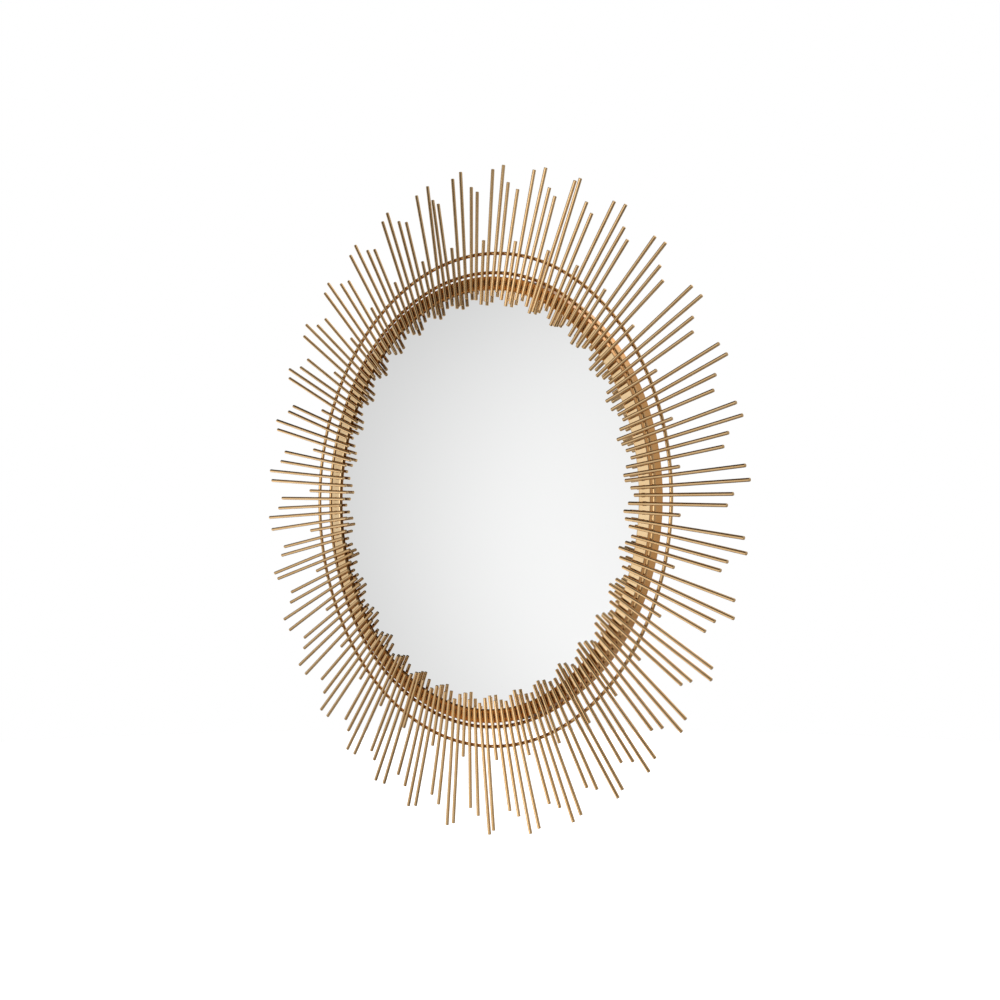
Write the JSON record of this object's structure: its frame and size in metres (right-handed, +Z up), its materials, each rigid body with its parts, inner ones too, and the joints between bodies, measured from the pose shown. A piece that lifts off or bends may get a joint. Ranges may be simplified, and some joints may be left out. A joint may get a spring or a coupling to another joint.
{
  "type": "sunburst wall mirror",
  "caption": "Round wall mirror in a shallow metal rim, with groups of straight rods radiating across the rim and two wire rings tying them, hung by D-rings on its back.",
  "frame": {"origin": "centre of the mirror's overall box: on the mirror's axis, half way between the rods' fronts and the wall", "axes": "-Y out of the mirror's face into the room, +Y into the wall, +Z up, +X to the right seen from the front"},
  "size_m": [0.7812, 0.033, 0.7804],
  "materials": {
    "gold_rods": "brushed champagne-gold plating, slightly antiqued",
    "gold_wire": "antiqued gold plating",
    "gold_rim": "satin gold plating, darker on the side",
    "mirror": "silvered float glass",
    "foam": "white polyethylene foam sheet",
    "filler": "expanded polystyrene",
    "fibreboard": "bare medium-density fibreboard",
    "zinc": "zinc plated",
    "screws": "zinc plated",
    "bumper": "soft black rubber"
  },
  "bodies": {
    "mirror": {"ray_group_01": "gold_rods", "ray_group_02": "gold_rods", "ray_group_03": "gold_rods", "ray_group_04": "gold_rods", "ray_group_05": "gold_rods", "ray_group_06": "gold_rods", "ray_group_07": "gold_rods", "ray_group_08": "gold_rods", "ray_group_09": "gold_rods", "ray_group_10": "gold_rods", "ray_group_11": "gold_rods", "ray_group_12": "gold_rods", "ray_group_13": "gold_rods", "ray_group_14": "gold_rods", "ray_group_15": "gold_rods", "ray_group_16": "gold_rods", "ray_group_17": "gold_rods", "ray_group_18": "gold_rods", "ray_group_19": "gold_rods", "ray_group_20": "gold_rods", "ray_group_21": "gold_rods", "ray_group_22": "gold_rods", "ray_group_23": "gold_rods", "ray_group_24": "gold_rods", "ray_group_25": "gold_rods", "ray_group_26": "gold_rods", "ray_group_27": "gold_rods", "ray_group_28": "gold_rods", "ray_group_29": "gold_rods", "ray_group_30": "gold_rods", "ray_group_31": "gold_rods", "ray_group_32": "gold_rods", "ray_group_33": "gold_rods", "ray_group_34": "gold_rods", "ray_group_35": "gold_rods", "ray_group_36": "gold_rods", "outer_wire_ring": "gold_wire", "inner_wire_ring": "gold_wire", "front_lip": "gold_rim", "rim_hoop": "gold_rim", "mirror_glass": "mirror", "glass_cushion": "foam", "filler_pad": "filler", "backing_board": "fibreboard", "retaining_tabs": "zinc", "hanger_strap_left": "zinc", "hanger_strap_right": "zinc", "tab_screws": "screws", "hanger_screws": "screws", "wall_bumper_upper_left": "bumper", "wall_bumper_upper_right": "bumper", "wall_bumper_lower_left": "bumper", "wall_bumper_lower_right": "bumper"},
    "left_ring": {"d_ring_left": "zinc"},
    "right_ring": {"d_ring_right": "zinc"}
  },
  "joints": [
    {"name": "left_ring_hinge", "type": "hinge", "parent": "mirror", "child": "left_ring", "pos_m": [-0.15, 0.01235, 0.112], "axis": [-1, 0, 0], "range_deg": [0, 178]},
    {"name": "right_ring_hinge", "type": "hinge", "parent": "mirror", "child": "right_ring", "pos_m": [0.15, 0.01235, 0.112], "axis": [-1, 0, 0], "range_deg": [0, 178]}
  ]
}
